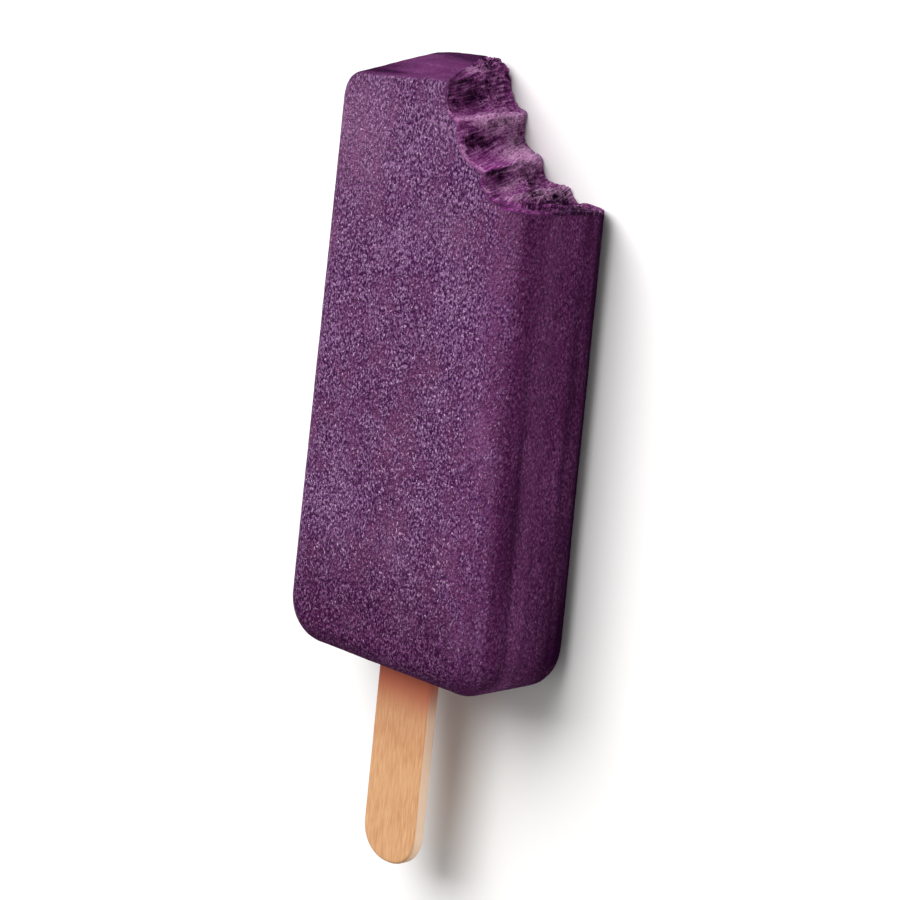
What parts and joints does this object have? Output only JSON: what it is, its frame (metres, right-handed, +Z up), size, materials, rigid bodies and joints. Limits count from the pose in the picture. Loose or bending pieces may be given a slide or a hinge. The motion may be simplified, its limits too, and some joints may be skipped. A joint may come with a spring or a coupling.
{
  "type": "ice lolly",
  "caption": "Berry-coloured ice lolly on a flat wooden stick, one corner of the tip bitten off in tooth-shaped scallops, lying on its back face.",
  "frame": {"origin": "centre of the bottom of the whole lolly's box, on the surface it lies on", "axes": "+Y along the lolly from the stick end to the tip, +Z up from the back face to the front face, +X across the front towards the bitten side"},
  "size_m": [0.0428, 0.1208, 0.0192],
  "materials": {
    "berry_ice": "frozen berry ice with a fine frosty grain along its length, smooth at the tip, torn and ridged in the bite",
    "birch_stick": "bare pale birch with fine grain along the stick, edges tumbled round"
  },
  "bodies": {
    "root": {"ice_block": "berry_ice", "stick": "birch_stick"}
  },
  "joints": []
}
